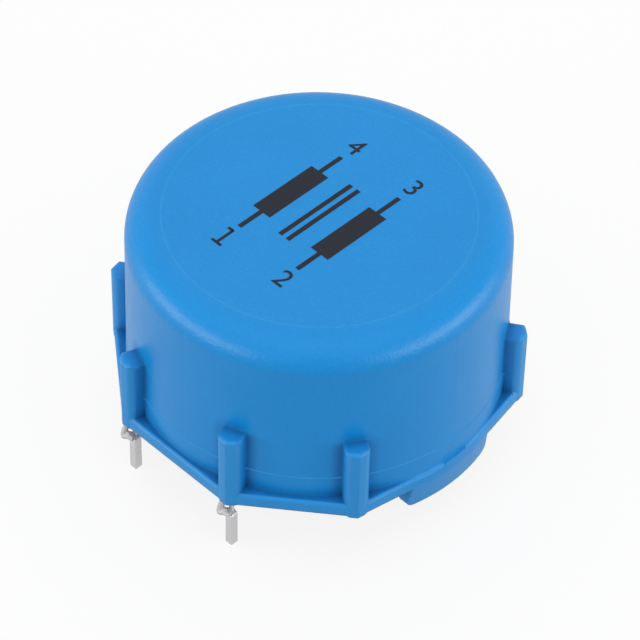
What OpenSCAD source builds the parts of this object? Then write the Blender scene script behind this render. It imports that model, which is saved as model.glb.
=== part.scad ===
// Ring core common mode choke: a moulded round case, potted from below, on four square pins.
// Millimetres. The Z axis is the axis of the case and z = 0 is the plane of the pin tips.
// The two pin rows lie towards -Y and +Y, the two feet towards -X and +X.

/* [Case] */
// Diameter of the case wall just under its rounded top edge
case_d = 41; // [38:0.5:50]
// Height of the case from the underside of its flange to its flat top
case_h = 22.8; // [20:0.1:32]
// Thickness of the wall and of the roof
wall = 1.1; // [0.8:0.05:1.5]
// Radius of the rounded top edge
top_radius = 3.3; // [2:0.1:5]
// Growth of the wall's radius from the top down to the flange
draft = 0.18; // [0:0.01:0.4]
// Height of the mould line above the underside of the flange
mould_line_h = 4.2; // [2.5:0.1:8]
// Step of the wall at the mould line
mould_line_step = 0.05; // [0.02:0.01:0.15]

/* [Flange] */
// Thickness of the flange
flange_t = 1.55; // [1:0.05:2.5]
// Overhang of the flange beyond the wall at the feet
flange_overhang = 0.37; // [0.2:0.01:1]
// Chamfer along the upper edge of the flange
flange_chamfer = 0.28; // [0.1:0.01:0.5]

/* [Ribs] */
// Width of a rib
rib_w = 2.65; // [2.2:0.05:3.5]
// Height of a rib above the underside of the flange
rib_h = 9.6; // [8:0.1:14]
// Reach of a rib beyond the wall
rib_reach = 2.12; // [1.8:0.02:3]
// Distance by which a rib stands proud of the flange's corner
rib_proud = 0.06; // [0.04:0.01:0.3]
// Distance by which a rib reaches below the flange
rib_drop = 0.15; // [0.05:0.01:0.3]
// Rounding of the upper edges of a rib
rib_round = 0.4; // [0.2:0.05:0.8]
// Rounding of the upright front corners of a rib
rib_corner = 1.25; // [0.5:0.05:1.3]
// Angle from the pin axis to the ribs that carry no pin
plain_rib_angle = 56.3; // [45:0.1:62]

/* [Feet] */
// Height of a foot below the flange
foot_h = 3.1; // [2.8:0.1:5]
// Width of a foot
foot_w = 12.1; // [6:0.1:16]
// Inward lean of the outer face of a foot, from top to bottom
foot_lean = 0.45; // [0:0.05:0.6]
// Rounding of the lower corners of a foot
foot_round = 1; // [0.3:0.1:1.4]
// Rounding of the upright corners of a foot
foot_corner = 2.7; // [1.5:0.1:3]

/* [Pins] */
// Side of the square pin section
pin_side = 0.95; // [0.8:0.05:1.2]
// Distance between the two pins of a row
pin_pitch = 15; // [12:0.1:18]
// Distance of the pin centres outside the wall
pin_offset = 0.68; // [0.55:0.01:1]
// Length of a pin below the feet
pin_length = 4.5; // [3:0.1:8]
// Length of a pin held inside its rib
pin_grip = 6.5; // [3:0.1:7.5]
// Rounding of the long edges of a pin
pin_round = 0.1; // [0.05:0.01:0.2]
// Chamfer around the tip of a pin
pin_tip = 0.2; // [0.05:0.01:0.3]
// Diameter of the round waist between the shoulder of a pin and its rib
waist_d = 0.55; // [0.4:0.05:0.7]
// Height of the shoulder of a pin above the board
shoulder_h = 0.4; // [0.4:0.05:0.8]

/* [Core] */
// Radial width of the ferrite ring
core_width = 6.5; // [4:0.1:8]
// Rounding of the edges of the ferrite ring
core_round = 0.8; // [0.3:0.1:1.5]
// Thickness of the insulating air or lacquer gap between the ring and the wire
core_gap = 0.2; // [0.1:0.05:0.5]

/* [Windings] */
// Diameter of the enamelled wire
wire_d = 0.6; // [0.4:0.05:0.7]
// Turns of each winding
turns = 24; // [12:1:26]
// Bend radius of the wire's centre line around the ring
wire_bend = 1.2; // [0.8:0.1:2]
// Radial room between the winding and the wall
winding_room = 0.6; // [0.3:0.05:1]

/* [Potting] */
// Depth of the potting surface inside the rim of the case
potting_recess = 0.9; // [0.4:0.1:2]
// Potting between its surface and the winding
potting_cover = 3.2; // [1.5:0.1:5]
// Potting between the winding and the roof of the case
roof_room = 1; // [0.5:0.1:3]
// Radius of the rise of the potting where it wets the wall
potting_rise = 0.6; // [0.2:0.1:0.8]

/* [Separator] */
// Thickness of the strip between the two windings
separator_t = 2; // [1:0.1:3]
// Distance by which the strip stands out of the bore of the ring, above and below
separator_proud = 0.9; // [0.5:0.1:1.2]

/* [Hidden] */
$fn = 96;

// Clearance between parts that are glued, pressed or potted together
fit_gap = 0.03;
// Clearance between the wire and what it passes
wire_gap = 0.1;
// Excess of a cutting body over the face that it opens
cut = 0.5;
// Distance by which the plan of a rib lies outside the faces whose corners it rounds
plan_room = 0.03;
// Sides of the wire's section
wire_sides = 8;
// Angles, in degrees, at which a bend of the wire is sampled
bend_steps = [0, 45, 90];
// Positions along each piece of the lead's smooth curve
curve_steps = [0, 0.35, 0.7];

// Heights
seat_z = pin_length;
flange_z = seat_z + foot_h;
top_z = flange_z + case_h;
roof_z = top_z - wall;
potting_z = flange_z + potting_recess;

// Radii of the case
top_r = case_d / 2;
base_r = top_r + draft;
cavity_top_r = top_r - wall;
cavity_base_r = base_r - wall;
cavity_round = top_radius - wall;
rim_r = base_r + flange_overhang;
rib_r = base_r + rib_reach;
corner_r = rib_r - rib_proud;
flange_middle_z = flange_z + flange_t / 2;

// Pins and ribs, with angles measured from the pin axis
pin_r = base_r + pin_offset;
pin_row = sqrt(pin_r * pin_r - pin_pitch * pin_pitch / 4);
pin_rib_angle = asin(pin_pitch / 2 / pin_r);
rib_angles = [-plain_rib_angle, -pin_rib_angle, pin_rib_angle, plain_rib_angle];

// The straight flange edges beside the feet run on until they lie just inside the rim circle
edge_tuck = 0.06;
edge_tuck_angle = 3;
edge_angle = plain_rib_angle + acos(rim_r / corner_r) + edge_tuck_angle;
edge_r = rim_r - edge_tuck;

// Wire paths around the ring
wire_r = wire_d / 2;
lead_r = cavity_top_r - winding_room - wire_r;
core_r = lead_r - wire_r - core_gap;
bore_r = core_r - core_width;
inner_r = bore_r - core_gap - wire_r;
wire_low = potting_z + potting_cover + wire_r;
wire_high = roof_z - roof_room - wire_r;
core_low = wire_low + wire_r + core_gap;
core_high = wire_high - wire_r - core_gap;

// Leads: u runs outwards along the pin axis, v across it
shoulder_z = seat_z + shoulder_h;
under_rim_z = flange_z - rib_drop - wire_r - wire_gap;
rest_u = pin_row + waist_d / 2 + wire_r + fit_gap;
rest_z = shoulder_z + wire_r + fit_gap;
hook_u = rest_u + wire_r / 2;
side_step = waist_d / 2 + wire_r + wire_gap;
function lead_v(pin_v) = pin_v - side_step;
function lead_u(pin_v, r) = sqrt(r * r - lead_v(pin_v) * lead_v(pin_v));

// A point of the lead's own axes in the axes of the part, on the side of the first pin row or the other
function on_side(p, side) = side == 0 ? [p[1], -p[0], p[2]] : [-p[1], p[0], p[2]];
function lead_angle(pin_v, side) = let (p = on_side([lead_u(pin_v, lead_r), lead_v(pin_v), 0], side))
    atan2(p[1], p[0]);

// The lead's guide points: from the cut end on the shoulder of the pin, past the waist, over the shoulder's
// edge, up to the rim and inwards under it, then up to the foot of the winding
function lead_guides(pin_v) = [
    [rest_u, pin_v + waist_d / 2, rest_z],
    [hook_u, pin_v - pin_side / 2, rest_z],
    [hook_u, pin_v - pin_side / 2 - wire_d, shoulder_z - wire_r],
    [rest_u, pin_v - side_step - wire_r / 2, (shoulder_z + under_rim_z) / 2],
    [pin_row + wire_r, lead_v(pin_v), under_rim_z],
    [lead_u(pin_v, cavity_base_r) - wire_gap, lead_v(pin_v), under_rim_z],
    [lead_u(pin_v, lead_r), lead_v(pin_v), under_rim_z + wire_r / 2],
    [lead_u(pin_v, lead_r), lead_v(pin_v), potting_z + wire_d]
];

// A smooth curve along guide points: parabolas between the middles of neighbouring spans
function smooth(g) = concat([g[0]], [
    for (i = [1 : len(g) - 2])
        let (a = (g[i - 1] + g[i]) / 2, b = (g[i] + g[i + 1]) / 2)
            for (t = curve_steps) a * (1 - t) * (1 - t) + g[i] * 2 * t * (1 - t) + b * t * t
], [g[len(g) - 1]]);
function lead(pin_v, side) = [for (p = smooth(lead_guides(pin_v))) on_side(p, side)];

// The turns run up outside the ring, in over the top, down through the bore and out below
function at(r, a, z) = [r * cos(a), r * sin(a), z];
function bend(r, a, z, r_way, z_way, up) = [
    for (s = up ? bend_steps : reversed(bend_steps))
        at(r + r_way * wire_bend * cos(s), a, z + z_way * wire_bend * sin(s))
];
first_angle = lead_angle(pin_pitch / 2, 0);
last_angle = lead_angle(-pin_pitch / 2, 1);
pitch_angle = (last_angle - first_angle) / turns;
function one_turn(k) = let (
    a = first_angle + k * pitch_angle,
    b = a + pitch_angle / 2,
    c = a + pitch_angle,
    outside = lead_r - wire_bend,
    inside = inner_r + wire_bend,
    last = k == turns - 1
) concat(
    bend(outside, a, wire_high - wire_bend, 1, 1, true),
    bend(inside, b, wire_high - wire_bend, -1, 1, false),
    bend(inside, b, wire_low + wire_bend, -1, -1, true),
    bend(outside, c, wire_low + (last ? -wire_bend : wire_bend), 1, last ? 1 : -1, false)
);
function reversed(list) = [for (i = [len(list) - 1 : -1 : 0]) list[i]];
wire_path = concat(
    lead(pin_pitch / 2, 0),
    [for (k = [0 : turns - 1]) each one_turn(k)],
    reversed(lead(-pin_pitch / 2, 1))
);

// A point of the flange outline at an angle from the pin axis, on the side of the first pin row or the other
function outline_point(r, angle, side) = [r * sin(angle), -r * cos(angle)] * (side == 0 ? 1 : -1);
flange_outline = [
    for (side = [0, 1])
        each [
            outline_point(edge_r, -edge_angle, side),
            for (angle = rib_angles) outline_point(corner_r, angle, side),
            outline_point(edge_r, edge_angle, side)
        ]
];

// Angle from the pin axis that a straight edge of the flange outline faces
function edge_way(i) = let (run = flange_outline[i + 1] - flange_outline[i]) atan2(run[1], run[0]);

// Half section of a drafted cup with a rounded upper edge, from the axis outwards
module cup_section(low_r, high_r, low_z, high_z, round_r) {
    polygon([[0, low_z], [low_r, low_z], [high_r, high_z - round_r], [0, high_z - round_r]]);
    translate([0, high_z - 2 * round_r])
        square([high_r - round_r, 2 * round_r]);
    translate([high_r - round_r, high_z - round_r])
        circle(round_r);
}

// Rectangle with all corners rounded, its lower left corner at the origin
module rounded_rectangle(size, round_r) {
    translate([round_r, 0])
        square([size[0] - 2 * round_r, size[1]]);
    translate([0, round_r])
        square([size[0], size[1] - 2 * round_r]);
    for (x = [round_r, size[0] - round_r], y = [round_r, size[1] - round_r])
        translate([x, y])
            circle(round_r);
}

// Wall of the case with the slightly proud skirt below the mould line
module shell() {
    line_r = base_r - draft * mould_line_h / (case_h - top_radius);
    rotate_extrude() {
        cup_section(base_r, top_r, flange_middle_z, top_z, top_radius);
        polygon([
            [0, flange_middle_z],
            [base_r + mould_line_step, flange_middle_z],
            [line_r + mould_line_step, flange_z + mould_line_h],
            [0, flange_z + mould_line_h]
        ]);
    }
}

// Straight cut along the upper edge of the flange between two points of its outline
module edge_chamfer(p, q) {
    middle = (p + q) / 2;
    run = q - p;
    length = norm(run) + 2 * flange_t;
    depth = flange_chamfer / sqrt(2);
    translate([middle[0], middle[1], flange_z + flange_t])
        rotate([0, -45, atan2(-run[0], run[1])])
            translate([-depth, -length / 2, -2 * flange_chamfer])
                cube([depth + flange_t, length, 4 * flange_chamfer]);
}

module flange() {
    side_points = len(flange_outline) / 2;
    difference() {
        translate([0, 0, flange_z])
            linear_extrude(flange_t) {
                circle(rim_r);
                polygon(flange_outline);
            }
        for (side = [0, 1], i = [side * side_points : (side + 1) * side_points - 2])
            edge_chamfer(flange_outline[i], flange_outline[i + 1]);
    }
}

// Upright rib, its front two faces that run with the flange edges on either side, all its edges rounded
module rib(left_tilt, right_tilt) {
    root_r = base_r - wall / 2;
    intersection() {
        translate([root_r, 0, 0])
            rotate([90, 0, 90])
                linear_extrude(rib_r - root_r + cut)
                    rib_section();
        rib_front(left_tilt);
        rib_front(right_tilt);
        translate([0, 0, flange_z - cut])
            linear_extrude(rib_h + 2 * cut)
                rib_plan(root_r - cut, left_tilt, right_tilt);
    }
}

// Plan that rounds the two upright front corners of a rib and leaves its faces as they are
module rib_plan(back, left_tilt, right_tilt) {
    side = rib_w / 2 + plan_room - rib_corner;
    left = rounding_place(side, -left_tilt);
    right = rounding_place(side, right_tilt);
    polygon([
        [back, side + rib_corner],
        [right, side + rib_corner],
        [right + rib_corner * cos(right_tilt), side + rib_corner * sin(right_tilt)],
        [rib_r + cut, 0],
        [left + rib_corner * cos(left_tilt), -side + rib_corner * sin(left_tilt)],
        [left, -side - rib_corner],
        [back, -side - rib_corner]
    ]);
    translate([right, side])
        circle(rib_corner);
    translate([left, -side])
        circle(rib_corner);
}

// Radius at which the centre of a corner's rounding lies, beside a front face of this tilt
function rounding_place(side, tilt) = rib_r + (plan_room - rib_corner) / cos(tilt) - side * tan(tilt);

// Bar behind one of the two front faces of a rib
module rib_front(tilt) {
    low_z = flange_z - rib_drop;
    height = rib_h + rib_drop;
    depth = 2 * rib_w;
    translate([rib_r, 0, low_z])
        rotate([90, 0, tilt])
            linear_extrude(3 * rib_w, center = true) {
                translate([-depth, 0])
                    square([depth, height - rib_round]);
                translate([-depth, 0])
                    square([depth - rib_round, height]);
                translate([-rib_round, height - rib_round])
                    circle(rib_round);
            }
}

// Section across a rib, its upper corners rounded
module rib_section() {
    low_z = flange_z - rib_drop;
    high_z = flange_z + rib_h;
    inset = rib_w / 2 - rib_round;
    translate([-rib_w / 2, low_z])
        square([rib_w, high_z - rib_round - low_z]);
    translate([-inset, low_z + rib_round])
        square([2 * inset, high_z - low_z - rib_round]);
    for (x = [-inset, inset])
        translate([x, high_z - rib_round])
            circle(rib_round);
}

// Both feet: arcs of the wall that reach down to the board, with rounded corners
module feet() {
    intersection() {
        rotate_extrude()
            polygon([
                [cavity_base_r - wall, seat_z],
                [rim_r - foot_lean, seat_z],
                [rim_r, flange_z],
                [rim_r, flange_middle_z],
                [cavity_base_r - wall, flange_middle_z]
            ]);
        translate([-rib_r, -foot_w / 2, seat_z])
            rotate([90, 0, 90])
                linear_extrude(2 * rib_r)
                    rounded_rectangle([foot_w, foot_h + flange_t + foot_round], foot_round);
        translate([-rim_r - cut / 2, -foot_w / 2 - cut / 2, seat_z - cut])
            linear_extrude(foot_h + flange_t + 2 * cut)
                rounded_rectangle([2 * rim_r + cut, foot_w + cut], foot_corner);
    }
}

module cavity() {
    rotate_extrude() {
        cup_section(cavity_base_r, cavity_top_r, flange_z, roof_z, cavity_round);
        translate([0, seat_z - cut])
            square([cavity_base_r, foot_h + cut]);
    }
}

// Places a child at each pin, counted round the case
module at_pin(number) {
    x = number == 1 || number == 4 ? -pin_pitch / 2 : pin_pitch / 2;
    y = number <= 2 ? -pin_row : pin_row;
    translate([x, y, 0])
        children();
}

module case() {
    color([0.16, 0.47, 0.74])
        difference() {
            union() {
                shell();
                flange();
                feet();
                for (side = [0, 180], i = [0 : len(rib_angles) - 1])
                    rotate([0, 0, side - 90 + rib_angles[i]])
                        rib(edge_way(i) - rib_angles[i], edge_way(i + 1) - rib_angles[i]);
            }
            cavity();
            for (number = [1 : 4])
                at_pin(number)
                    translate([-pin_side / 2 - fit_gap, -pin_side / 2 - fit_gap, flange_z - cut])
                        cube([pin_side + 2 * fit_gap, pin_side + 2 * fit_gap, pin_grip + cut]);
        }
}

// Space of the wound part of the ring, from the core outwards, with room for the wire
module winding_space(first, last) {
    low = wire_low - wire_r - wire_gap;
    inner = inner_r - wire_r - wire_gap;
    rotate([0, 0, first])
        rotate_extrude(angle = last - first)
            translate([inner, low])
                rounded_rectangle(
                    [lead_r + wire_r + wire_gap - inner, wire_high + wire_r + wire_gap - low],
                    wire_bend
                );
}

module ring(gap) {
    rotate_extrude()
        translate([bore_r - gap, core_low - gap])
            rounded_rectangle([core_width + 2 * gap, core_high - core_low + 2 * gap], core_round);
}

module separator_strip(gap) {
    length = 2 * sqrt(bore_r * bore_r - separator_t * separator_t / 4) - 4 * fit_gap + 2 * gap;
    translate([
        -separator_t / 2 - gap,
        -length / 2,
        core_low - separator_proud - gap
    ])
        cube([separator_t + 2 * gap, length, core_high - core_low + 2 * separator_proud + 2 * gap]);
}

module potting() {
    end_room = 2 * asin(wire_d / 2 / inner_r);
    color([0.80, 0.77, 0.70])
        difference() {
            rotate_extrude()
                difference() {
                    cup_section(cavity_base_r - fit_gap, cavity_top_r - fit_gap, potting_z - potting_rise,
                        roof_z - fit_gap, cavity_round);
                    translate([-cut, potting_z - potting_rise - cut])
                        square([cavity_base_r - potting_rise + cut, potting_rise + cut]);
                    translate([cavity_base_r - potting_rise, potting_z - potting_rise])
                        circle(potting_rise - fit_gap);
                }
            ring(fit_gap);
            separator_strip(fit_gap);
            for (turn = [0, 180])
                rotate([0, 0, turn]) {
                    winding_space(first_angle - end_room, last_angle + end_room);
                    for (angle = [first_angle, last_angle])
                        translate([lead_r * cos(angle), lead_r * sin(angle), flange_z])
                            cylinder(h = wire_low + wire_bend - flange_z, r = wire_r + fit_gap);
                    rotate([0, 0, last_angle])
                        translate([lead_r - wire_bend, -wire_r - wire_gap, wire_low - wire_bend])
                            cube([wire_bend, wire_d + 2 * wire_gap, wire_bend]);
                }
        }
}

module ferrite_core() {
    color([0.20, 0.20, 0.21])
        ring(0);
}

module winding_separator() {
    color([0.90, 0.90, 0.86])
        separator_strip(0);
}

// Round wire swept along a path, its section carried along without twist
module wire(path) {
    count = len(path);
    ways = [
        for (i = [0 : count - 1])
            let (run = path[min(i + 1, count - 1)] - path[max(i - 1, 0)])
                run / norm(run)
    ];
    first = cross(ways[0], [0, 0, 1]);
    across = [
        for (
            i = 0, n = first / norm(first);
            i < count;
            n = i + 1 < count ? carried(n, ways[i + 1]) : n, i = i + 1
        ) n
    ];
    points = [
        for (i = [0 : count - 1], k = [0 : wire_sides - 1])
            let (angle = 360 * (k + 0.5) / wire_sides)
                path[i] + wire_r * (cos(angle) * across[i] + sin(angle) * cross(ways[i], across[i]))
    ];
    faces = concat(
        [[for (k = [0 : wire_sides - 1]) k]],
        [
            for (i = [0 : count - 2], k = [0 : wire_sides - 1])
                let (next = (k + 1) % wire_sides, low = i * wire_sides, high = low + wire_sides)
                    [low + k, high + k, high + next, low + next]
        ],
        [[for (k = [wire_sides - 1 : -1 : 0]) (count - 1) * wire_sides + k]]
    );
    polyhedron(points, faces);
}
function carried(n, way) = let (flat = n - (n * way) * way) flat / norm(flat);

module winding_a() {
    color([0.68, 0.36, 0.18])
        rotate([0, 0, 180])
            wire(wire_path);
}

module winding_b() {
    color([0.68, 0.36, 0.18])
        wire(wire_path);
}

// Square post with rounded long edges, from the origin upwards, chamfered at both ends
module post(length, low_chamfer, high_chamfer) {
    side = pin_side / 2;
    section = [
        [-side + low_chamfer, 0],
        [side - low_chamfer, 0],
        [side, low_chamfer],
        [side, length - high_chamfer],
        [side - high_chamfer, length],
        [-side + high_chamfer, length],
        [-side, length - high_chamfer],
        [-side, low_chamfer]
    ];
    intersection() {
        linear_extrude(length)
            translate([-side, -side])
                rounded_rectangle([pin_side, pin_side], pin_round);
        rotate([90, 0, 0])
            linear_extrude(2 * pin_side, center = true)
                polygon(section);
        rotate([90, 0, 90])
            linear_extrude(2 * pin_side, center = true)
                polygon(section);
    }
}

// Pin with a square leg that ends in a shoulder, a round waist and a square head pressed into its rib
module pin() {
    color([0.78, 0.78, 0.80]) {
        post(shoulder_z, pin_tip, pin_round);
        translate([0, 0, shoulder_z - waist_d])
            cylinder(h = flange_z - shoulder_z + 2 * waist_d, d = waist_d);
        translate([0, 0, flange_z])
            post(pin_grip - fit_gap, pin_round, pin_round);
    }
}

module pin_1() {
    at_pin(1)
        pin();
}

module pin_2() {
    at_pin(2)
        pin();
}

module pin_3() {
    at_pin(3)
        pin();
}

module pin_4() {
    at_pin(4)
        pin();
}

case();
potting();
ferrite_core();
winding_separator();
winding_a();
winding_b();
pin_1();
pin_2();
pin_3();
pin_4();
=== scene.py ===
import math
import bmesh
import bpy
from mathutils import Matrix, Vector


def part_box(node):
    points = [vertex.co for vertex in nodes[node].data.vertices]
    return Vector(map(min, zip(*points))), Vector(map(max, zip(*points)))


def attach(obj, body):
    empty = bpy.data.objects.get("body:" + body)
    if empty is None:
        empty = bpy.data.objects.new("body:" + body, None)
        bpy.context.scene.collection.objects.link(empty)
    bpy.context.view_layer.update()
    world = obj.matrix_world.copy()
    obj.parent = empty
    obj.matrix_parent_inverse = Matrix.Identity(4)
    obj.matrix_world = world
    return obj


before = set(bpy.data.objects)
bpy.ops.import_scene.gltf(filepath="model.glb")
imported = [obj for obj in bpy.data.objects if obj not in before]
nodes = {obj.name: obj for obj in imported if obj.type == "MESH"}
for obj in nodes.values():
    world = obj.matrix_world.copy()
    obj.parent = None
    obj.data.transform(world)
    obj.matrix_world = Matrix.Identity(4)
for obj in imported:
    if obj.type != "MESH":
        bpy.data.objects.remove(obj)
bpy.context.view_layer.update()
scene = bpy.context.scene
mm = 0.001
noiseRange = (0.3, 0.7)  # a noise texture seldom leaves it
print("frame loaded with", len(nodes), "nodes")


# small helpers for node trees
def addNode(tree, kind, place, **settings):
    node = tree.nodes.new(kind)
    node.location = place
    for key, value in settings.items():
        setattr(node, key, value)
    return node


def setInputs(node, **values):
    for label, value in values.items():
        node.inputs[label.replace("_", " ")].default_value = value


def newGroup(name, inputs, outputs):
    tree = bpy.data.node_groups.new(name, "ShaderNodeTree")
    for label, value in inputs.items():
        socket = tree.interface.new_socket(label, in_out="INPUT", socket_type="NodeSocketFloat")
        socket.default_value = value
    for label, kind in outputs.items():
        tree.interface.new_socket(label, in_out="OUTPUT", socket_type=kind)
    start = addNode(tree, "NodeGroupInput", (-900, 0))
    end = addNode(tree, "NodeGroupOutput", (600, 0))
    return tree, start, end


def placeGroup(tree, group, place, **values):
    node = addNode(tree, "ShaderNodeGroup", place, node_tree=group)
    setInputs(node, **values)
    return node


def newMaterial(name, **values):
    material = bpy.data.materials.new(name)
    material.use_nodes = True
    tree = material.node_tree
    shader = tree.nodes["Principled BSDF"]
    setInputs(shader, **values)
    return material, tree, shader


# each colour is a tuple or the output of another node
def mixColours(tree, place, factor, first, second):
    node = addNode(tree, "ShaderNodeMix", place, data_type="RGBA")
    tree.links.new(factor, node.inputs["Factor"])
    for socket, colour in ((node.inputs[6], first), (node.inputs[7], second)):
        if isinstance(colour, tuple):
            socket.default_value = (*colour, 1)
        else:
            tree.links.new(colour, socket)
    return node.outputs[2]


def mixValues(tree, place, share, first, second):
    node = addNode(tree, "ShaderNodeMix", place)
    setInputs(node, Factor=share)
    tree.links.new(first, node.inputs[2])
    tree.links.new(second, node.inputs[3])
    return node.outputs[0]


def spread(tree, place, value, low, high, fromLow=0.0, fromHigh=1.0):
    node = addNode(tree, "ShaderNodeMapRange", place)
    tree.links.new(value, node.inputs["Value"])
    setInputs(node, From_Min=fromLow, From_Max=fromHigh, To_Min=low, To_Max=high)
    return node.outputs[0]


def bumpOn(tree, place, height, strength, distance, normal=None):
    node = addNode(tree, "ShaderNodeBump", place)
    setInputs(node, Strength=strength, Distance=distance)
    tree.links.new(height, node.inputs["Height"])
    if normal is not None:
        tree.links.new(normal, node.inputs["Normal"])
    return node.outputs["Normal"]


def placeParts(tree, place):
    here = addNode(tree, "ShaderNodeTexCoord", place)
    parts = addNode(tree, "ShaderNodeSeparateXYZ", (place[0] + 200, place[1]))
    tree.links.new(here.outputs["Object"], parts.inputs[0])
    return parts


def calculate(tree, place, operation, first, second=None, clamp=False):
    node = addNode(tree, "ShaderNodeMath", place, operation=operation, use_clamp=clamp)
    for socket, value in zip(node.inputs, (first, second)):
        if isinstance(value, (int, float)):
            socket.default_value = value
        elif value is not None:
            tree.links.new(value, socket)
    return node.outputs[0]


def joinSurface(tree, shader, colour, rough, normal):
    tree.links.new(colour, shader.inputs["Base Color"])
    tree.links.new(rough, shader.inputs["Roughness"])
    tree.links.new(normal, shader.inputs["Normal"])


# small helpers for meshes
def addPiece(name, mesh, material):
    data = bpy.data.meshes.new(name)
    mesh.to_mesh(data)
    mesh.free()
    data.materials.append(material)
    piece = bpy.data.objects.new(name, data)
    scene.collection.objects.link(piece)
    return piece


def joinCurve(mesh, curve, place):
    holder = bpy.data.objects.new(curve.name, curve)
    shape = bpy.data.meshes.new_from_object(holder)
    shape.transform(Matrix.Translation(place))
    mesh.from_mesh(shape)
    bpy.data.objects.remove(holder)
    bpy.data.meshes.remove(shape)


# shared surface effects
def makeGrainGroup():
    tree, start, end = newGroup(
        "spark eroded grain",
        {"Fine": 5200.0, "Coarse": 900.0},
        {"Height": "NodeSocketFloat", "Mottle": "NodeSocketFloat"},
    )
    coarseShare = 0.35
    fineShare = 0.6
    place = addNode(tree, "ShaderNodeTexCoord", (-900, 300))
    fine = addNode(tree, "ShaderNodeTexNoise", (-600, 300))
    coarse = addNode(tree, "ShaderNodeTexNoise", (-600, 0))
    cloud = addNode(tree, "ShaderNodeTexNoise", (-600, -300))
    setInputs(fine, Detail=2, Roughness=0.6)
    setInputs(coarse, Detail=3)
    setInputs(cloud, Scale=140, Detail=4)
    for noise in (fine, coarse, cloud):
        tree.links.new(place.outputs["Object"], noise.inputs["Vector"])
    tree.links.new(start.outputs["Fine"], fine.inputs["Scale"])
    tree.links.new(start.outputs["Coarse"], coarse.inputs["Scale"])
    height = mixValues(tree, (-200, 200), coarseShare, fine.outputs["Fac"], coarse.outputs["Fac"])
    mottle = mixValues(tree, (-200, -200), fineShare, cloud.outputs["Fac"], fine.outputs["Fac"])
    tree.links.new(height, end.inputs["Height"])
    tree.links.new(mottle, end.inputs["Mottle"])
    return tree


def makeEdgeGroup():
    tree, start, end = newGroup(
        "softened edges",
        {"Width": 0.3 * mm, "Gain": 4.0, "Recess": 0.0},
        {"Normal": "NodeSocketVector", "Edge": "NodeSocketFloat"},
    )
    rounded = addNode(tree, "ShaderNodeBevel", (-600, 200), samples=8)
    tree.links.new(start.outputs["Width"], rounded.inputs["Radius"])
    surface = addNode(tree, "ShaderNodeNewGeometry", (-600, -100))
    along = addNode(tree, "ShaderNodeVectorMath", (-300, 0), operation="DOT_PRODUCT")
    tree.links.new(rounded.outputs["Normal"], along.inputs[0])
    tree.links.new(surface.outputs["Normal"], along.inputs[1])
    turned = calculate(tree, (0, 0), "SUBTRACT", 1, along.outputs["Value"])
    edge = calculate(tree, (250, 0), "MULTIPLY", turned, start.outputs["Gain"], clamp=True)
    # inside a recess the corner stays sharp
    soft = addNode(tree, "ShaderNodeMix", (250, 250), data_type="VECTOR")
    tree.links.new(start.outputs["Recess"], soft.inputs["Factor"])
    tree.links.new(rounded.outputs["Normal"], soft.inputs[4])
    tree.links.new(surface.outputs["Normal"], soft.inputs[5])
    tree.links.new(soft.outputs[1], end.inputs["Normal"])
    tree.links.new(edge, end.inputs["Edge"])
    return tree


def makeDrawnGroup():
    tree, start, end = newGroup(
        "drawn metal",
        {"Streaks": 9000.0, "Patches": 1400.0},
        {"Height": "NodeSocketFloat", "Dull": "NodeSocketFloat"},
    )
    place = addNode(tree, "ShaderNodeTexCoord", (-1100, 200))
    stretch = addNode(tree, "ShaderNodeMapping", (-900, 250))
    streaks = addNode(tree, "ShaderNodeTexNoise", (-600, 250))
    patches = addNode(tree, "ShaderNodeTexNoise", (-600, -50))
    setInputs(stretch, Scale=(1, 1, 0.04))  # drawn out along the pins
    setInputs(streaks, Detail=3)
    setInputs(patches, Detail=4)
    tree.links.new(place.outputs["Object"], stretch.inputs["Vector"])
    tree.links.new(stretch.outputs["Vector"], streaks.inputs["Vector"])
    tree.links.new(place.outputs["Object"], patches.inputs["Vector"])
    tree.links.new(start.outputs["Streaks"], streaks.inputs["Scale"])
    tree.links.new(start.outputs["Patches"], patches.inputs["Scale"])
    tree.links.new(streaks.outputs["Fac"], end.inputs["Height"])
    tree.links.new(patches.outputs["Fac"], end.inputs["Dull"])
    return tree


# darkness of recesses, from ambient occlusion: it sets painted shade, and in the case also roughness and
# sharp corners
def makeRecessGroup():
    tree, start, end = newGroup(
        "recess shade",
        {"Reach": 2.0 * mm, "Gain": 1.0},
        {"Shade": "NodeSocketFloat"},
    )
    around = addNode(tree, "ShaderNodeAmbientOcclusion", (-600, 0), samples=8)
    tree.links.new(start.outputs["Reach"], around.inputs["Distance"])
    closed = calculate(tree, (-300, 0), "SUBTRACT", 1, around.outputs["AO"])
    shade = calculate(tree, (0, 0), "MULTIPLY", closed, start.outputs["Gain"], clamp=True)
    tree.links.new(shade, end.inputs["Shade"])
    return tree


grainGroup = makeGrainGroup()
edgeGroup = makeEdgeGroup()
drawnGroup = makeDrawnGroup()
recessGroup = makeRecessGroup()
print("shared effects made")

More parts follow.
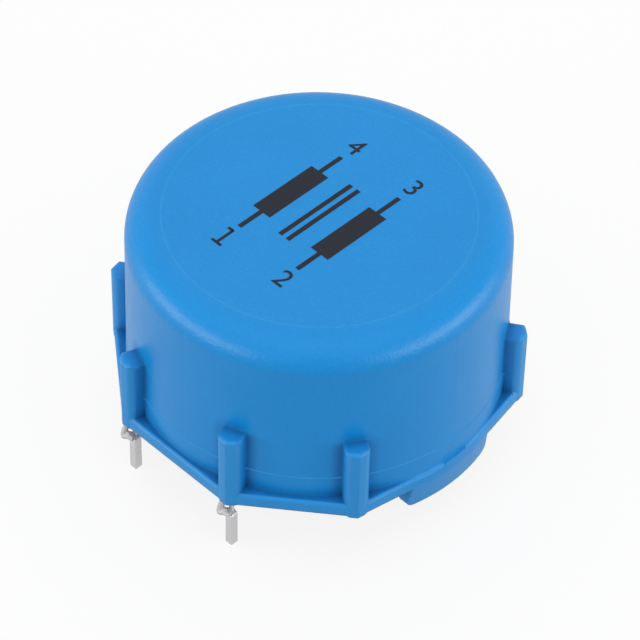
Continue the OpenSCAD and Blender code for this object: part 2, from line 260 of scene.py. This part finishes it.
# moulded case: bright blue plastic with a fine spark eroded grain
casing = {
    "blue": (0.001, 0.262, 0.685),
    "paleBlue": (0.003, 0.285, 0.735),
    "edgeHighlightBlue": (0.012, 0.31, 0.74),
    "highlightBlue": (0.024, 0.30, 0.725),
    "paintedShadeBlue": (0.001, 0.045, 0.17),
    "lineHighlightBlue": (0.05, 0.40, 0.80),
    "sheen": 0.4,
    "roughness": (0.28, 0.4),
    "fleckRange": (0.35, 0.65),
    "edgeWidth": 0.45 * mm,
    "edgeGain": 2.5,
    "edgeHighlightShare": 0.15,
    "highlightRadius": 21.5 * mm,
    "highlightShare": 0.6,
    "recessReach": 1.6 * mm,
    "recessGain": 1.15,
    "recessRoughness": 0.4,
    "lineHeight": 11.8 * mm,
    "lineWidth": 0.12 * mm,
    "lineRadius": 20.9 * mm,
    "ringRadius": 16.6 * mm,
    "ringShare": 0.6,
    "openHalf": 5.0 * mm,
    "shadedHalf": 9.0 * mm,
    "openShade": 0.15,
    "fineGrain": 3000.0,
    "coarseGrain": 900.0,
    "grainDepth": 0.1 * mm,
    "grainStrength": 0.8,
    "drawnGrain": 0.25,
    "drawnHeight": 25.0 * mm,
    "grainedHeight": 27.0 * mm,
}


def axisDistance(tree, parts):
    flat = addNode(tree, "ShaderNodeCombineXYZ", (-1500, 600))
    radius = addNode(tree, "ShaderNodeVectorMath", (-1300, 600), operation="LENGTH")
    tree.links.new(parts.outputs["X"], flat.inputs[0])
    tree.links.new(parts.outputs["Y"], flat.inputs[1])
    tree.links.new(flat.outputs[0], radius.inputs[0])
    return radius.outputs["Value"]


def fineLine(tree, place, value, middle):
    offset = calculate(tree, place, "SUBTRACT", value, middle)
    away = calculate(tree, (place[0] + 200, place[1]), "ABSOLUTE", offset)
    return spread(tree, (place[0] + 400, place[1]), away, 1.0, 0.0, 0.0, casing["lineWidth"])


# painted highlight lines: a pale line round the wall where the halves of the mould met and its small ledge
# catches the light, and a faint one round the top where the edge begins to round
def highlightLines(tree, parts, radius):
    low = fineLine(tree, (-1100, 800), parts.outputs["Z"], casing["lineHeight"])
    onWall = calculate(tree, (-700, 600), "LESS_THAN", radius, casing["lineRadius"])
    ring = fineLine(tree, (-1100, 1200), radius, casing["ringRadius"])
    onTop = calculate(tree, (-900, 1400), "GREATER_THAN", parts.outputs["Z"], casing["grainedHeight"])
    faint = calculate(tree, (-700, 1400), "MULTIPLY", onTop, casing["ringShare"])
    wallLine = calculate(tree, (-500, 700), "MULTIPLY", low, onWall)
    topLine = calculate(tree, (-500, 1200), "MULTIPLY", ring, faint)
    return calculate(tree, (-300, 900), "ADD", wallLine, topLine)


# less painted shade on the narrow rim over the feet, which stays open to the light
def shadeBesideFeet(tree, parts, shade):
    reach = (casing["openHalf"], casing["shadedHalf"])
    across = calculate(tree, (-1100, 1000), "ABSOLUTE", parts.outputs["Y"])
    share = spread(tree, (-900, 1000), across, casing["openShade"], 1.0, *reach)
    return calculate(tree, (-700, 1000), "MULTIPLY", shade, share)


# painted highlight: ribs, flange and edges stand out into the light and are painted a little paler
def paintedHighlights(tree, grain, edges, radius):
    reach = (casing["lineRadius"], casing["highlightRadius"])
    flecks = spread(tree, (-700, 200), grain.outputs["Mottle"], 0.0, 1.0, *casing["fleckRange"])
    blue = mixColours(tree, (-500, 200), flecks, casing["blue"], casing["paleBlue"])
    outer = spread(tree, (-700, -100), radius, 0.0, casing["highlightShare"], *reach)
    highlighted = mixColours(tree, (-400, 200), outer, blue, casing["highlightBlue"])
    paintedEdges = spread(tree, (-500, -50), edges.outputs["Edge"], 0.0, casing["edgeHighlightShare"])
    return mixColours(tree, (-250, 200), paintedEdges, highlighted, casing["edgeHighlightBlue"])


def caseRoughness(tree, grain, shade):
    rough = spread(tree, (-700, -300), grain.outputs["Height"], *casing["roughness"], *noiseRange)
    dull = calculate(tree, (-700, -450), "MULTIPLY", shade, casing["recessRoughness"])
    return calculate(tree, (-500, -300), "ADD", rough, dull)


# the walls were drawn smooth by the tool, the top and its edge keep the grain
def caseRelief(tree, parts, grain, edges):
    reach = (casing["drawnHeight"], casing["grainedHeight"])
    depth = (casing["grainStrength"], casing["grainDepth"])
    kept = spread(tree, (-700, -600), parts.outputs["Z"], casing["drawnGrain"], 1.0, *reach)
    relief = calculate(tree, (-500, -600), "MULTIPLY", grain.outputs["Height"], kept)
    return bumpOn(tree, (-250, -300), relief, *depth, edges.outputs["Normal"])


def makeCasePlastic():
    material, tree, shader = newMaterial("case plastic", IOR=1.5, Specular_IOR_Level=casing["sheen"])
    grain = placeGroup(tree, grainGroup, (-900, 0), Fine=casing["fineGrain"], Coarse=casing["coarseGrain"])
    edges = placeGroup(tree, edgeGroup, (-900, -300), Width=casing["edgeWidth"], Gain=casing["edgeGain"])
    recess = placeGroup(tree, recessGroup, (-1200, -300))
    setInputs(recess, Reach=casing["recessReach"], Gain=casing["recessGain"])
    hidden = recess.outputs["Shade"]
    tree.links.new(hidden, edges.inputs["Recess"])
    parts = placeParts(tree, (-1700, 700))
    radius = axisDistance(tree, parts)
    paintedEdges = paintedHighlights(tree, grain, edges, radius)
    line = highlightLines(tree, parts, radius)
    faint = calculate(tree, (-300, 600), "MULTIPLY", line, grain.outputs["Mottle"])
    # painted highlight along those lines
    lined = mixColours(tree, (-150, 450), faint, paintedEdges, casing["lineHighlightBlue"])
    shade = shadeBesideFeet(tree, parts, hidden)
    # painted shade in recesses, darker blue, kept off the highlight lines
    shadeMask = calculate(tree, (-300, 400), "SUBTRACT", shade, line, clamp=True)
    colour = mixColours(tree, (-50, 250), shadeMask, lined, casing["paintedShadeBlue"])
    rough = caseRoughness(tree, grain, hidden)
    normal = caseRelief(tree, parts, grain, edges)
    joinSurface(tree, shader, colour, rough, normal)
    return material


# what is cast, moulded, sintered or printed: mottled colour, uneven gloss and grain
def makeGrained(name, finish):
    material, tree, shader = newMaterial(name, IOR=finish["ior"])
    grain = placeGroup(tree, grainGroup, (-900, 0), Fine=finish["fine"], Coarse=finish["coarse"])
    colour = mixColours(tree, (-500, 200), grain.outputs["Mottle"], finish["dark"], finish["pale"])
    rough = spread(tree, (-500, -50), grain.outputs[finish["roughnessFrom"]], *finish["roughness"])
    relief = (finish["strength"], finish["depth"])
    normal = bumpOn(tree, (-250, -300), grain.outputs["Height"], *relief)
    joinSurface(tree, shader, colour, rough, normal)
    return material


# resin poured in from below
resin = {
    "dark": (0.46, 0.39, 0.28),
    "pale": (0.55, 0.49, 0.38),
    "ior": 1.53,
    "fine": 1600.0,
    "coarse": 260.0,
    "roughness": (0.22, 0.42, *noiseRange),
    "roughnessFrom": "Mottle",
    "strength": 0.25,
    "depth": 0.12 * mm,
}

# sintered ring, inside the potting
ferrite = {
    "dark": (0.028, 0.028, 0.03),
    "pale": (0.06, 0.06, 0.062),
    "ior": 1.6,
    "fine": 7000.0,
    "coarse": 1200.0,
    "roughness": (0.55, 0.75),
    "roughnessFrom": "Height",
    "strength": 0.3,
    "depth": 0.05 * mm,
}

# moulded strip in the bore of the ring
separator = {
    "dark": (0.70, 0.69, 0.62),
    "pale": (0.80, 0.79, 0.73),
    "ior": 1.5,
    "fine": 4000.0,
    "coarse": 700.0,
    "roughness": (0.45, 0.6),
    "roughnessFrom": "Height",
    "strength": 0.2,
    "depth": 0.03 * mm,
}

# square pins: drawn wire with a dull coat of tin
tin = {
    "bright": (0.84, 0.84, 0.845),
    "dull": (0.64, 0.64, 0.65),
    "edgeGrey": (0.26, 0.26, 0.27),
    "shadow": (0.08, 0.12, 0.16),
    "roughness": (0.34, 0.5),
    "streaks": 9000.0,
    "patches": 1400.0,
    "streakStrength": 0.2,
    "streakDepth": 0.02 * mm,
    "edgeWidth": 0.2 * mm,
    "edgeGain": 4.0,
    "edgeGreyShare": 0.7,
    "recessReach": 2.2 * mm,
    "recessGain": 0.6,
    "shoulder": 4.9 * mm,
    "shoulderFade": 0.3 * mm,
}


# painted shade: the case shades the waist of a pin, above its shoulder
def shadeOnWaist(tree):
    start = tin["shoulder"]
    recess = placeGroup(tree, recessGroup, (-900, 300), Reach=tin["recessReach"], Gain=tin["recessGain"])
    parts = placeParts(tree, (-1300, 500))
    waist = spread(tree, (-900, 500), parts.outputs["Z"], 0.0, 1.0, start, start + tin["shoulderFade"])
    return calculate(tree, (-600, 400), "MULTIPLY", recess.outputs["Shade"], waist)


def makeTin():
    material, tree, shader = newMaterial("tinned metal", Metallic=1.0)
    drawn = placeGroup(tree, drawnGroup, (-900, 0), Streaks=tin["streaks"], Patches=tin["patches"])
    edges = placeGroup(tree, edgeGroup, (-900, -300), Width=tin["edgeWidth"], Gain=tin["edgeGain"])
    coat = mixColours(tree, (-600, 200), drawn.outputs["Dull"], tin["bright"], tin["dull"])
    # the edges are painted a darker grey
    paintedEdges = spread(tree, (-600, 0), edges.outputs["Edge"], 0.0, tin["edgeGreyShare"])
    edgeGreyed = mixColours(tree, (-450, 200), paintedEdges, coat, tin["edgeGrey"])
    colour = mixColours(tree, (-300, 200), shadeOnWaist(tree), edgeGreyed, tin["shadow"])
    rough = spread(tree, (-500, -50), drawn.outputs["Dull"], *tin["roughness"], *noiseRange)
    relief = (tin["streakStrength"], tin["streakDepth"])
    normal = bumpOn(tree, (-250, -300), drawn.outputs["Height"], *relief, edges.outputs["Normal"])
    joinSurface(tree, shader, colour, rough, normal)
    return material


# enamelled copper, tinned where the ends were dipped
wire = {
    "copper": (0.62, 0.27, 0.13),
    "tinned": (0.72, 0.71, 0.70),
    "roughness": (0.24, 0.42),
    "streaks": 5000.0,
    "patches": 1800.0,
    "patchStrength": 0.15,
    "patchDepth": 0.03 * mm,
    "edgeWidth": 0.15 * mm,
    "edgeGain": 1.0,
    "dipHeight": 7.3 * mm,
    "dipSpread": 0.5 * mm,
    "dipFade": 0.15 * mm,
}


def makeWire():
    material, tree, shader = newMaterial("copper wire", Metallic=1.0)
    drawn = placeGroup(tree, drawnGroup, (-1100, 0), Streaks=wire["streaks"], Patches=wire["patches"])
    edges = placeGroup(tree, edgeGroup, (-900, -300), Width=wire["edgeWidth"], Gain=wire["edgeGain"])
    parts = placeParts(tree, (-1300, 300))
    uneven = (-wire["dipSpread"], wire["dipSpread"])
    fade = (wire["dipHeight"] - wire["dipFade"], wire["dipHeight"] + wire["dipFade"])
    ragged = spread(tree, (-900, 150), drawn.outputs["Dull"], *uneven, *noiseRange)
    level = calculate(tree, (-700, 250), "ADD", parts.outputs["Z"], ragged)
    bare = spread(tree, (-500, 250), level, 0.0, 1.0, *fade)
    colour = mixColours(tree, (-250, 250), bare, wire["tinned"], wire["copper"])
    rough = spread(tree, (-500, -50), drawn.outputs["Dull"], *wire["roughness"], *noiseRange)
    relief = (wire["patchStrength"], wire["patchDepth"])
    normal = bumpOn(tree, (-250, -300), drawn.outputs["Dull"], *relief, edges.outputs["Normal"])
    joinSurface(tree, shader, colour, rough, normal)
    return material


def dress(material, *names):
    for name in names:
        slots = nodes[name].data.materials
        slots.clear()
        slots.append(material)


dress(makeCasePlastic(), "case")
dress(makeGrained("potting resin", resin), "potting")
dress(makeGrained("sintered ferrite", ferrite), "ferrite_core")
dress(makeGrained("separator plastic", separator), "winding_separator")
dress(makeTin(), "pin_1", "pin_2", "pin_3", "pin_4")
dress(makeWire(), "winding_a", "winding_b")
print("solids dressed")

# printed mark on the top: the two windings as bars, with plain numerals at the ends of their leads
mark = {
    "barLength": 8.6 * mm,
    "barWidth": 2.5 * mm,
    "barOffset": 4.3 * mm,
    "leadLength": 3.2 * mm,
    "lineWidth": 0.55 * mm,
    "coreLength": 10.5 * mm,
    "numeralSize": 3.4 * mm,
    "numeralStep": 0.62,  # from the end of a lead, as a share of the size
    "serifStep": 0.35,  # from the middle of the numeral, as a share of the size
    "serifWidth": 1.4 * mm,
    "serifLine": 0.32 * mm,
    "inkThickness": 0.016 * mm,
    "lift": 0.004 * mm,
}
ink = {
    "dark": (0.004, 0.005, 0.009),
    "pale": (0.012, 0.017, 0.03),
    "ior": 1.45,
    "fine": 5200.0,
    "coarse": 2600.0,
    "roughness": (0.5, 0.7),
    "roughnessFrom": "Height",
    "strength": 0.2,
    "depth": 0.03 * mm,
}


def addInkBar(mesh, x, y, width, length):
    size = Matrix.Diagonal((width, length, mark["inkThickness"], 1))
    bmesh.ops.create_cube(mesh, size=1, matrix=Matrix.Translation((x, y, 0)) @ size)


# a foot and a flag, so that the one reads as a numeral
def addSerifs(mesh, x, y):
    step = mark["serifStep"] * mark["numeralSize"]
    foot = mark["serifWidth"]
    flag = foot / 2
    addInkBar(mesh, x, y - step, foot, mark["serifLine"])
    addInkBar(mesh, x - flag / 2, y + step, flag, mark["serifLine"])


def addNumeral(mesh, text, x, y):
    curve = bpy.data.curves.new("numeral", "FONT")
    curve.body = text
    curve.size = mark["numeralSize"]
    curve.align_x = "CENTER"
    curve.align_y = "CENTER"
    curve.extrude = mark["inkThickness"] / 2
    joinCurve(mesh, curve, (x, y, 0))
    if text == "1":
        addSerifs(mesh, x, y)


def makeMark():
    mesh = bmesh.new()
    leadEnd = mark["barLength"] / 2 + mark["leadLength"]
    numeralY = leadEnd + mark["numeralStep"] * mark["numeralSize"]
    for side, first, last in ((-1, "1", "4"), (1, "2", "3")):
        x = side * mark["barOffset"]
        addInkBar(mesh, x, 0, mark["barWidth"], mark["barLength"])
        for end in (-1, 1):
            y = end * (mark["barLength"] + mark["leadLength"]) / 2
            addInkBar(mesh, x, y, mark["lineWidth"], mark["leadLength"])
        addNumeral(mesh, first, x, -numeralY)
        addNumeral(mesh, last, x, numeralY)
    for side in (-1, 1):
        addInkBar(mesh, side * mark["lineWidth"], 0, mark["lineWidth"], mark["coreLength"])
    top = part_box("case")[1].z
    rise = top + mark["inkThickness"] / 2 + mark["lift"]
    bmesh.ops.translate(mesh, verts=mesh.verts, vec=(0, 0, rise))
    printed = addPiece("printed_mark", mesh, makeGrained("print ink", ink))
    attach(printed, "root")


makeMark()
print("top printed")

# solder on the wire ends: a band along each hook, lumps in its bend and a dome on the shoulder of the pin
solder = {
    "grey": (0.56, 0.56, 0.57),
    "pale": (0.68, 0.68, 0.685),
    "sheen": 0.3,
    "metallic": 0.2,
    "roughness": (0.55, 0.72),
    "streaks": 2600.0,
    "patches": 1500.0,
    "patchStrength": 0.3,
    "patchDepth": 0.05 * mm,
    "recessGain": 0.25,
    "rimHeight": 7.05 * mm,
    "waistRadius": 0.275 * mm,
    "wireRadius": 0.3 * mm,
    "gap": 0.03 * mm,
    "tail": 0.12 * mm,
    "bandRadius": 0.36 * mm,
    "lumpPlace": Vector((-0.38, -0.62, 0.28)) * mm,
    "lumpSize": Vector((0.55, 0.36, 0.52)) * mm,
    "fillPlace": Vector((-0.12, -0.4, 0.26)) * mm,
    "fillSize": Vector((0.48, 0.4, 0.44)) * mm,
    "domePlace": Vector((0, 0, 0)),
    "domeSize": Vector((0.47, 0.47, 0.36)) * mm,
}


def makeSolder():
    finish = {"Metallic": solder["metallic"], "Specular_IOR_Level": solder["sheen"]}
    material, tree, shader = newMaterial("solder", **finish)
    drawn = placeGroup(tree, drawnGroup, (-900, 0), Streaks=solder["streaks"], Patches=solder["patches"])
    recess = placeGroup(tree, recessGroup, (-900, 300), Reach=tin["recessReach"], Gain=solder["recessGain"])
    coat = mixColours(tree, (-600, 200), drawn.outputs["Dull"], solder["pale"], solder["grey"])
    # painted shade in the recesses round the pin
    colour = mixColours(tree, (-300, 200), recess.outputs["Shade"], coat, tin["shadow"])
    rough = spread(tree, (-500, -50), drawn.outputs["Dull"], *solder["roughness"], *noiseRange)
    relief = (solder["patchStrength"], solder["patchDepth"])
    normal = bumpOn(tree, (-250, -300), drawn.outputs["Dull"], *relief)
    joinSurface(tree, shader, colour, rough, normal)
    return material


# each point has its place from the shoulder of the pin, and its share of the band's radius
def bandPath(pinHalf):
    radius = solder["wireRadius"]
    rest = solder["waistRadius"] + radius + solder["gap"]
    lift = radius + solder["gap"]
    rise = solder["rimHeight"] - tin["shoulder"]
    return (
        (solder["waistRadius"] + solder["tail"], -rest, lift, 0.9),
        (-pinHalf, -rest - radius / 2, lift, 1.1),
        (-pinHalf - 2 * radius, -rest - radius / 2, -radius, 1.1),
        (-rest - radius, -rest, rise / 2, 0.95),
        (-rest - radius / 4, -radius, rise, 0.9),
    )


def addBand(mesh, pinHalf):
    path = bandPath(pinHalf)
    curve = bpy.data.curves.new("solder band", "CURVE")
    curve.dimensions = "3D"
    curve.bevel_depth = solder["bandRadius"]
    curve.bevel_resolution = 5
    curve.use_fill_caps = True
    line = curve.splines.new("NURBS")
    line.points.add(len(path) - 1)
    line.order_u = 3
    line.use_endpoint_u = True
    line.resolution_u = 10
    for point, (x, y, z, thickness) in zip(line.points, path):
        point.co = (x, y, z, 1)
        point.radius = thickness
    joinCurve(mesh, curve, (0, 0, 0))


def addDrop(mesh, place, size):
    shape = Matrix.Translation(place) @ Matrix.Diagonal((*size, 1))
    bmesh.ops.create_uvsphere(mesh, u_segments=32, v_segments=18, radius=1, matrix=shape)


def makeJoint(number, material):
    low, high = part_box("pin_%d" % number)
    axis = (low + high) / 2
    mesh = bmesh.new()
    addBand(mesh, (high.x - low.x) / 2)
    for drop in ("lump", "fill", "dome"):
        addDrop(mesh, solder[drop + "Place"], solder[drop + "Size"])
    turn = Matrix.Rotation(0 if axis.y < 0 else math.pi, 4, "Z")
    foot = Matrix.Translation((axis.x, axis.y, tin["shoulder"]))
    bmesh.ops.transform(mesh, verts=mesh.verts, matrix=foot @ turn)
    for face in mesh.faces:
        face.smooth = True
    joint = addPiece("solder_joint_%d" % number, mesh, material)
    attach(joint, "root")


solderMaterial = makeSolder()
for number in (1, 2, 3, 4):
    makeJoint(number, solderMaterial)
print("wire ends soldered")

# camera, fitted to the photograph
shot = {
    "azimuth": 44.402,
    "elevation": 46.285,
    "roll": 1.249,
    "distance": 402.94 * mm,
    "aimHeight": 7.6 * mm,
    "slideRight": 0.286 * mm,
    "slideUp": 4.503 * mm,
    "lens": 207.9,
    "sensor": 36.0,
    "clipNear": 0.01,
    "clipFar": 20.0,
}
azimuth = math.radians(shot["azimuth"])
elevation = math.radians(shot["elevation"])
upward = Vector((0, 0, 1))
cameraRight = Vector((math.cos(azimuth), math.sin(azimuth), 0))
cameraFront = Vector((math.sin(azimuth), -math.cos(azimuth), 0))
cameraBack = math.cos(elevation) * cameraFront + math.sin(elevation) * upward
cameraUp = cameraBack.cross(cameraRight)


def makeCamera():
    data = bpy.data.cameras.new("camera")
    data.lens = shot["lens"]
    data.sensor_width = shot["sensor"]
    data.clip_start = shot["clipNear"]
    data.clip_end = shot["clipFar"]
    camera = bpy.data.objects.new("camera", data)
    scene.collection.objects.link(camera)
    place = shot["aimHeight"] * upward + shot["distance"] * cameraBack
    place += shot["slideRight"] * cameraRight + shot["slideUp"] * cameraUp
    axes = Matrix((cameraRight, cameraUp, cameraBack)).transposed().to_4x4()
    tilt = Matrix.Rotation(math.radians(shot["roll"]), 4, "Z")
    camera.matrix_world = Matrix.Translation(place) @ axes @ tilt
    scene.camera = camera


makeCamera()
print("camera placed")

# pale floor and soft studio light
studio = {
    "floorSize": 6.0,
    "floorGrey": (0.2, 0.2, 0.2),
    "floorWhite": (0.95, 0.95, 0.95),
    "floorGlow": 0.85,
    "mirrorShare": 0.55,
    "skyLight": 0.4,
    "lampDistance": 0.8,
}
softbox = {"width": 1.2, "height": 1.2, "power": 3.8, "mirrored": False}
backFill = {"width": 1.0, "height": 0.5, "power": 1.6, "mirrored": False}
stripLight = {"width": 1.0, "height": 0.26, "power": 3.7, "mirrored": True}
# where the lamps stand, as seen from the camera
lamps = {
    "top softbox": {"right": 0.0, "front": 0.2, "up": 1.0, **softbox},
    "back fill": {"right": 0.0, "front": -1.0, "up": 0.6, **backFill},
    "left strip light": {"right": -0.92, "front": 0.36, "up": 0.14, **stripLight},
    "right strip light": {"right": 0.92, "front": 0.36, "up": 0.14, **stripLight},
}


# the white that the camera sees, a little greyer where a surface mirrors it
def litByBackground(tree, place):
    x, y = place
    path = addNode(tree, "ShaderNodeLightPath", place)
    glossy = path.outputs["Is Glossy Ray"]
    mirrored = calculate(tree, (x + 200, y), "MULTIPLY", glossy, studio["mirrorShare"])
    first = calculate(tree, (x + 400, y), "ADD", path.outputs["Is Camera Ray"], mirrored)
    through = path.outputs["Is Transmission Ray"]
    return calculate(tree, (x + 600, y), "ADD", first, through, clamp=True)


def makePaper():
    material, tree, shader = newMaterial("floor paper", Roughness=0.9, Specular_IOR_Level=0.0)
    direct = litByBackground(tree, (-800, 200))
    paper = mixColours(tree, (-200, -100), direct, studio["floorGrey"], studio["floorWhite"])
    tree.links.new(paper, shader.inputs["Base Color"])
    glow = addNode(tree, "ShaderNodeEmission", (0, -200))
    blend = addNode(tree, "ShaderNodeMixShader", (250, 0))
    seen = calculate(tree, (0, 200), "MULTIPLY", direct, studio["floorGlow"])
    tree.links.new(seen, blend.inputs[0])
    tree.links.new(shader.outputs[0], blend.inputs[1])
    tree.links.new(glow.outputs[0], blend.inputs[2])
    tree.links.new(blend.outputs[0], tree.nodes["Material Output"].inputs["Surface"])
    return material


def makeFloor():
    mesh = bmesh.new()
    bmesh.ops.create_grid(mesh, x_segments=1, y_segments=1, size=studio["floorSize"] / 2)
    floor = addPiece("floor", mesh, makePaper())


def makeSky():
    world = bpy.data.worlds.new("studio")
    scene.world = world
    world.use_nodes = True
    tree = world.node_tree
    sky = tree.nodes["Background"]
    setInputs(sky, Color=(1, 1, 1, 1), Strength=studio["skyLight"])
    white = addNode(tree, "ShaderNodeBackground", (0, -200))
    setInputs(white, Color=(1, 1, 1, 1))
    blend = addNode(tree, "ShaderNodeMixShader", (250, 0))
    tree.links.new(litByBackground(tree, (-600, 200)), blend.inputs[0])
    tree.links.new(sky.outputs[0], blend.inputs[1])
    tree.links.new(white.outputs[0], blend.inputs[2])
    tree.links.new(blend.outputs[0], tree.nodes["World Output"].inputs["Surface"])


def makeLamp(name, setting):
    data = bpy.data.lights.new(name, "AREA")
    data.shape = "RECTANGLE"
    data.size = setting["width"]
    data.size_y = setting["height"]
    data.energy = setting["power"]
    lamp = bpy.data.objects.new(name, data)
    scene.collection.objects.link(lamp)
    toward = setting["right"] * cameraRight + setting["front"] * cameraFront + setting["up"] * upward
    lamp.location = toward.normalized() * studio["lampDistance"]
    lamp.rotation_mode = "QUATERNION"
    lamp.rotation_quaternion = toward.to_track_quat("Z", "Y")
    lamp.visible_glossy = setting["mirrored"]


makeFloor()
makeSky()
for name, setting in lamps.items():
    makeLamp(name, setting)
scene.view_settings.view_transform = "Standard"
print("studio lit")
